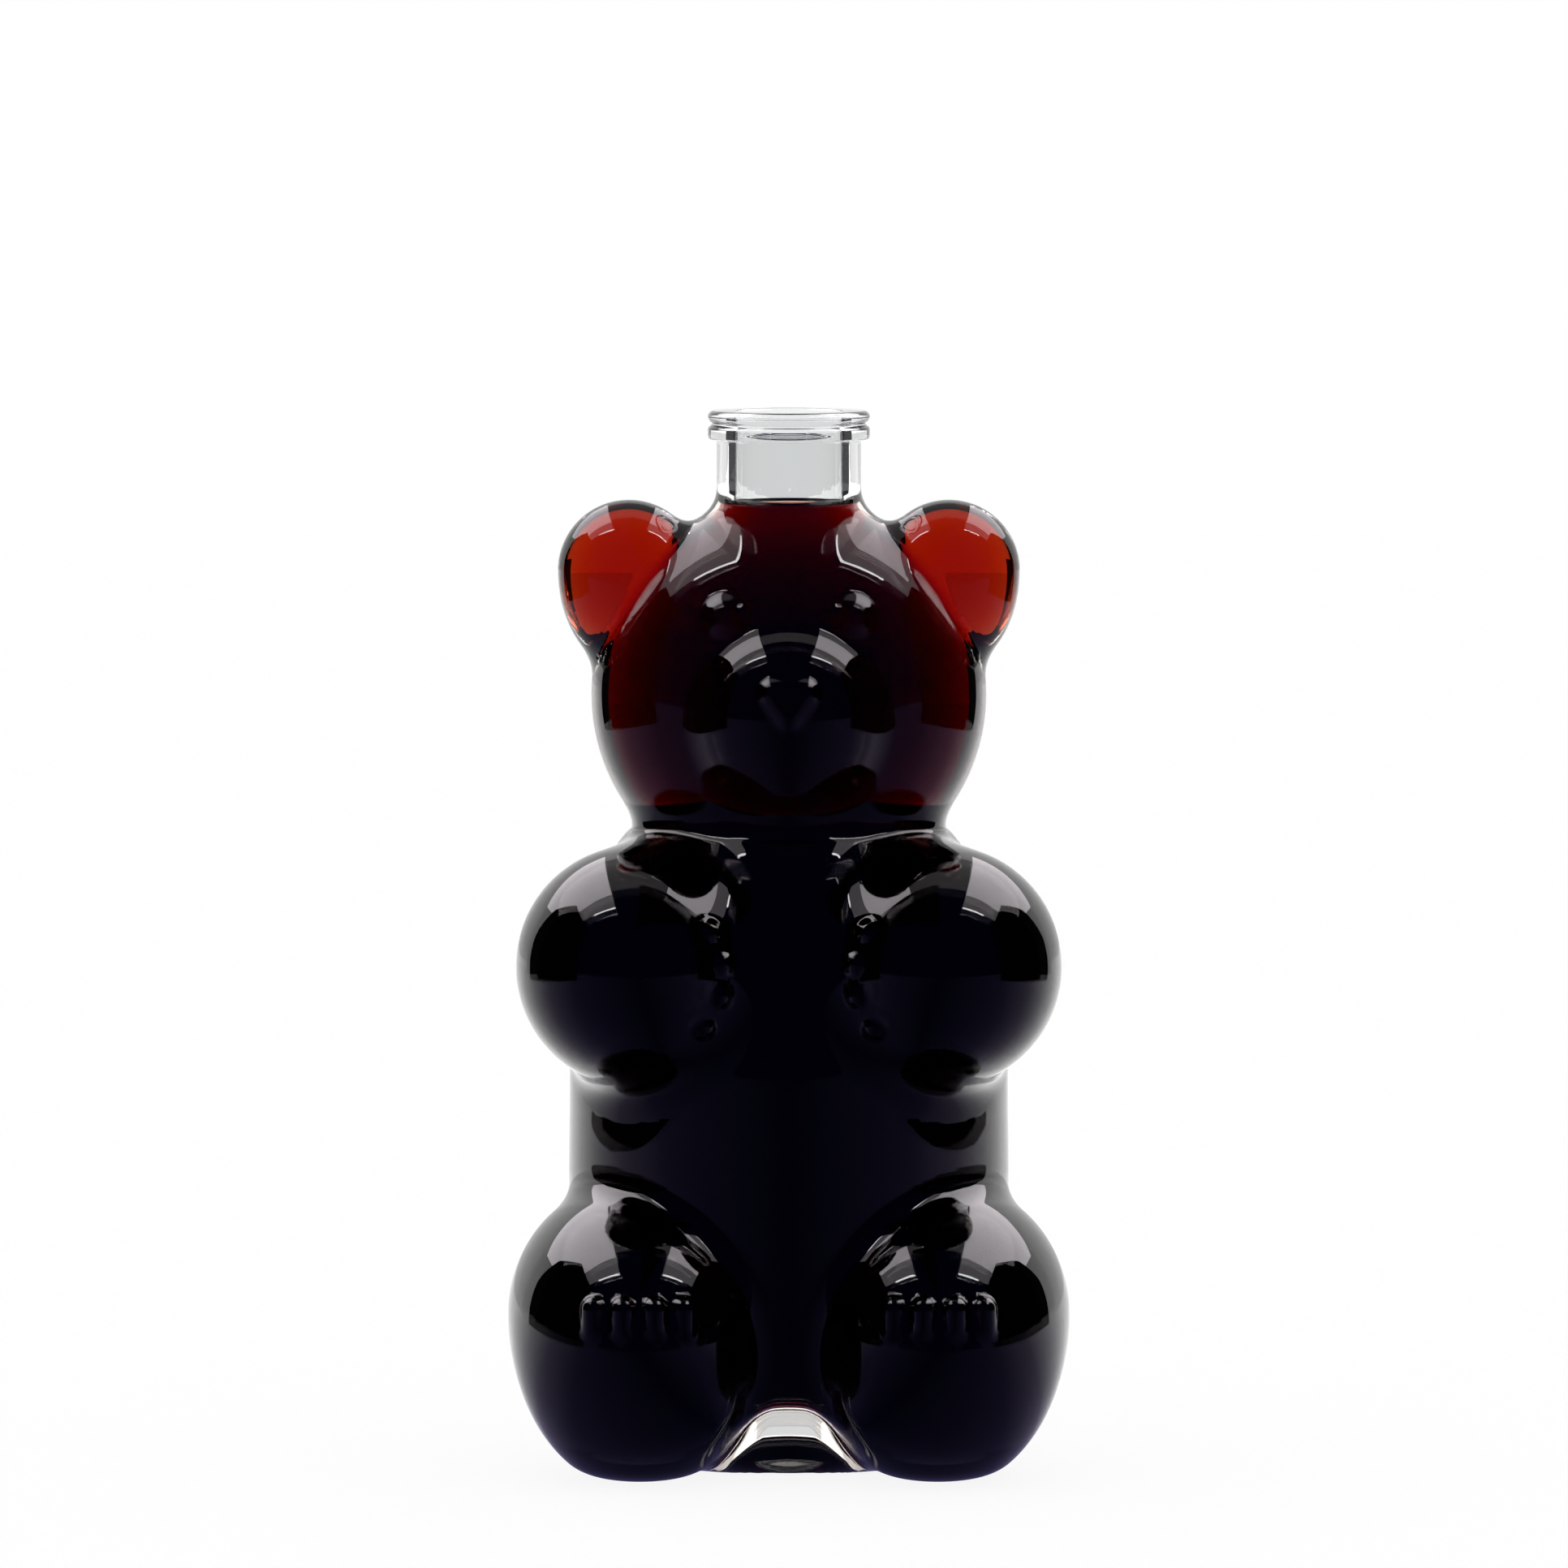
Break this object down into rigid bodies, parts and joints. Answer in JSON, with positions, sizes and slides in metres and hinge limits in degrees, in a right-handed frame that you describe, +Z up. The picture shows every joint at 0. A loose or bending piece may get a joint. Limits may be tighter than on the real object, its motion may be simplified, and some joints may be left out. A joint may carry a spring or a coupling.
{
  "type": "bear-shaped glass bottle",
  "caption": "Clear glass bottle in the shape of a sitting bear with a plain bar-top neck, filled with dark liquid.",
  "frame": {"origin": "on the floor plane, at the middle of the width and of the depth", "axes": "+Z up along the neck, +X to the right of someone who faces the bear, -Y the way the bear looks"},
  "size_m": [0.097, 0.0807, 0.1835],
  "materials": {
    "glass": "clear colourless, polished",
    "liquid": "clear dark red-brown liquid"
  },
  "bodies": {
    "root": {"glass_bottle": "glass", "liquid_fill": "liquid"}
  },
  "joints": []
}
